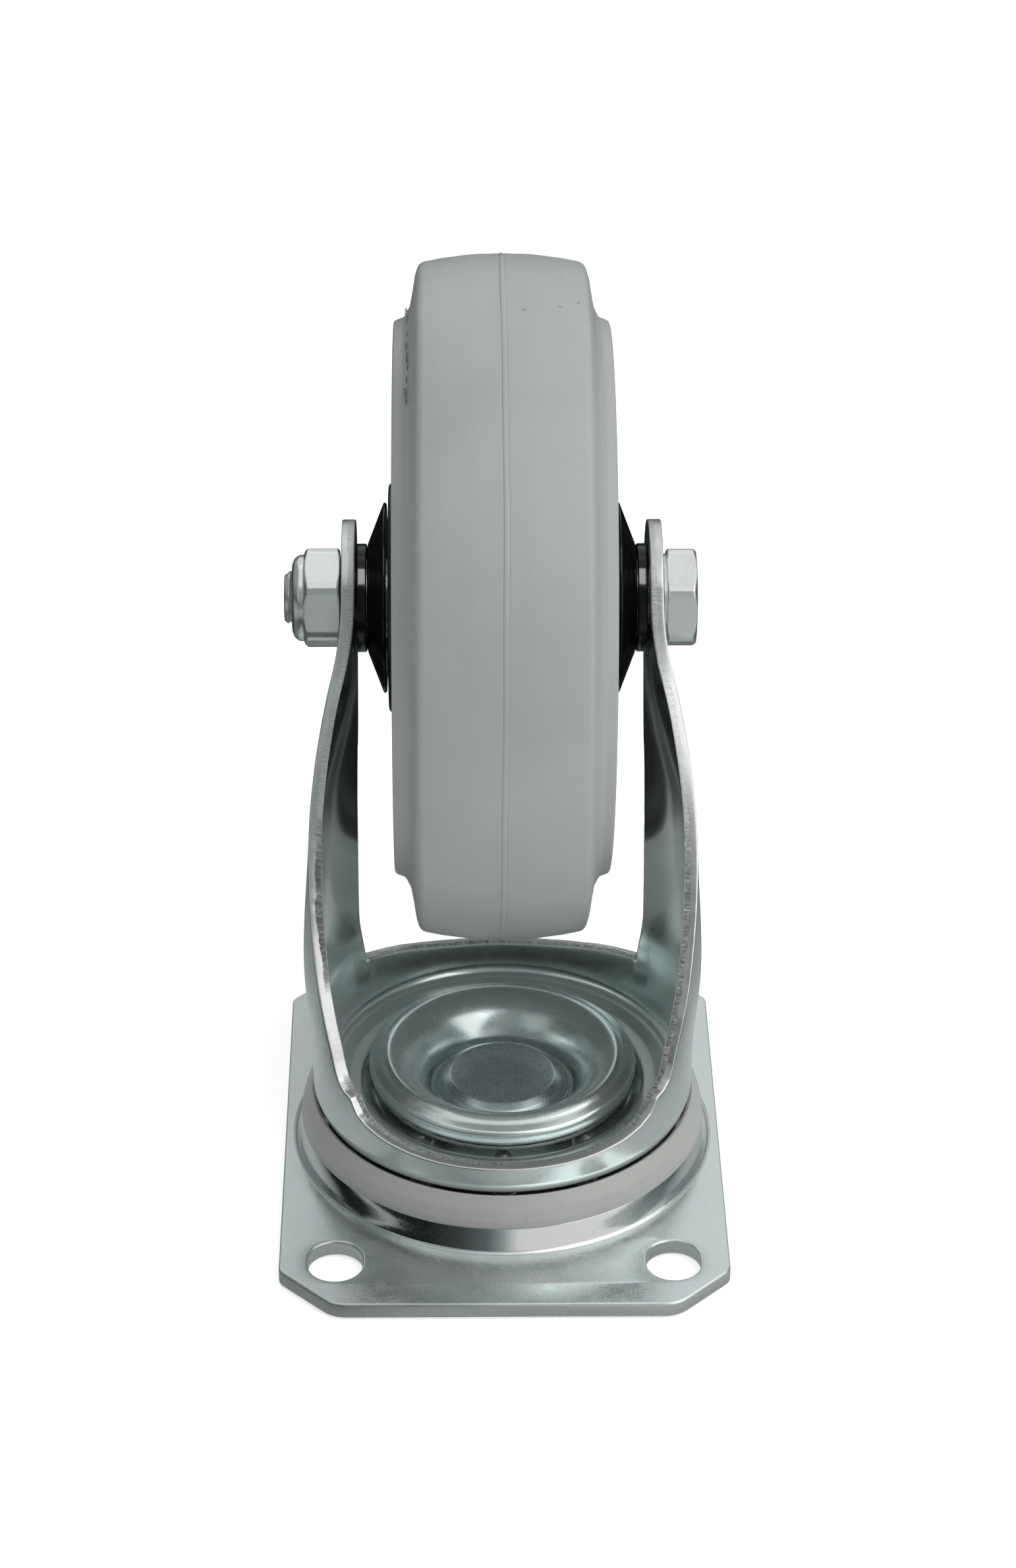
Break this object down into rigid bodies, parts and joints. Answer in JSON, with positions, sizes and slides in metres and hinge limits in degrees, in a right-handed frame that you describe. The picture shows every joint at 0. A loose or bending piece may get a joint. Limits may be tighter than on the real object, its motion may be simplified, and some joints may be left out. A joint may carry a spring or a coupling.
{
  "type": "swivel castor",
  "caption": "Swivel castor with a slotted mounting plate, double ball race, pressed steel fork and grey rubber wheel on an axle bolt with lock nut.",
  "frame": {"origin": "swivel axis on the mounting face of the plate, at the centre of the king pin's flush head", "axes": "+Z from the mounting face towards the wheel, +X along the axle towards the bolt head, +Y towards the trailing side where the axle sits"},
  "size_m": [0.08, 0.156, 0.155],
  "materials": {
    "zinc_plate": "bright zinc plating on pressed sheet, faint blue-green tint, soft gloss",
    "zinc_hardware": "bright zinc plating, glossy",
    "plain_steel": "plain oiled steel",
    "bearing_steel": "polished hardened steel",
    "grey_rubber": "satin non-marking grey rubber",
    "ring_plastic": "matt light grey moulding",
    "black_plastic": "glossy black moulding",
    "nylon": "natural nylon"
  },
  "bodies": {
    "plate": {"mounting_plate": "zinc_plate", "dust_ring": "ring_plastic", "king_pin": "zinc_plate", "race_cup": "zinc_plate"},
    "fork": {"fork": "zinc_plate", "axle_bolt": "zinc_hardware", "lock_nut": "zinc_hardware", "nut_insert": "nylon", "axle_sleeve": "plain_steel", "hub_cover_left": "black_plastic", "hub_cover_right": "black_plastic", "spacer_collar_left": "black_plastic", "spacer_collar_right": "black_plastic", "bearing_inner_ring_left": "bearing_steel", "bearing_inner_ring_right": "bearing_steel"},
    "wheel": {"tyre": "grey_rubber", "wheel_core": "black_plastic", "bearing_outer_ring_left": "bearing_steel", "bearing_outer_ring_right": "bearing_steel"},
    "main_race": {"main_race_cage": "plain_steel", "main_ball_01": "bearing_steel", "main_ball_02": "bearing_steel", "main_ball_03": "bearing_steel", "main_ball_04": "bearing_steel", "main_ball_05": "bearing_steel", "main_ball_06": "bearing_steel", "main_ball_07": "bearing_steel", "main_ball_08": "bearing_steel", "main_ball_09": "bearing_steel", "main_ball_10": "bearing_steel", "main_ball_11": "bearing_steel", "main_ball_12": "bearing_steel"},
    "lower_race": {"lower_race_cage": "plain_steel", "lower_ball_01": "bearing_steel", "lower_ball_02": "bearing_steel", "lower_ball_03": "bearing_steel", "lower_ball_04": "bearing_steel", "lower_ball_05": "bearing_steel", "lower_ball_06": "bearing_steel", "lower_ball_07": "bearing_steel", "lower_ball_08": "bearing_steel"},
    "bearing_left": {"bearing_ball_left_1": "bearing_steel", "bearing_ball_left_2": "bearing_steel", "bearing_ball_left_3": "bearing_steel", "bearing_ball_left_4": "bearing_steel", "bearing_ball_left_5": "bearing_steel", "bearing_ball_left_6": "bearing_steel", "bearing_ball_left_7": "bearing_steel"},
    "bearing_right": {"bearing_ball_right_1": "bearing_steel", "bearing_ball_right_2": "bearing_steel", "bearing_ball_right_3": "bearing_steel", "bearing_ball_right_4": "bearing_steel", "bearing_ball_right_5": "bearing_steel", "bearing_ball_right_6": "bearing_steel", "bearing_ball_right_7": "bearing_steel"}
  },
  "joints": [
    {"name": "swivel", "type": "hinge", "parent": "plate", "child": "fork", "pos_m": [0, 0, 0.012], "axis": [0, 0, 1], "continuous": true},
    {"name": "wheel_spin", "type": "hinge", "parent": "fork", "child": "wheel", "pos_m": [0, 0.041, 0.0925], "axis": [1, 0, 0], "continuous": true},
    {"name": "main_race_roll", "type": "hinge", "parent": "plate", "child": "main_race", "pos_m": [0, 0, 0.0102], "axis": [0, 0, 1], "continuous": true},
    {"name": "lower_race_roll", "type": "hinge", "parent": "plate", "child": "lower_race", "pos_m": [0, 0, 0.01555], "axis": [0, 0, 1], "continuous": true},
    {"name": "bearing_roll_left", "type": "hinge", "parent": "fork", "child": "bearing_left", "pos_m": [0, 0.041, 0.0925], "axis": [1, 0, 0], "continuous": true},
    {"name": "bearing_roll_right", "type": "hinge", "parent": "fork", "child": "bearing_right", "pos_m": [0, 0.041, 0.0925], "axis": [1, 0, 0], "continuous": true}
  ],
  "couplings": [
    {"joint": "main_race_roll", "follows": "swivel", "ratio": 0.5},
    {"joint": "lower_race_roll", "follows": "swivel", "ratio": 0.5},
    {"joint": "bearing_roll_left", "follows": "wheel_spin", "ratio": 0.616},
    {"joint": "bearing_roll_right", "follows": "wheel_spin", "ratio": 0.616}
  ]
}
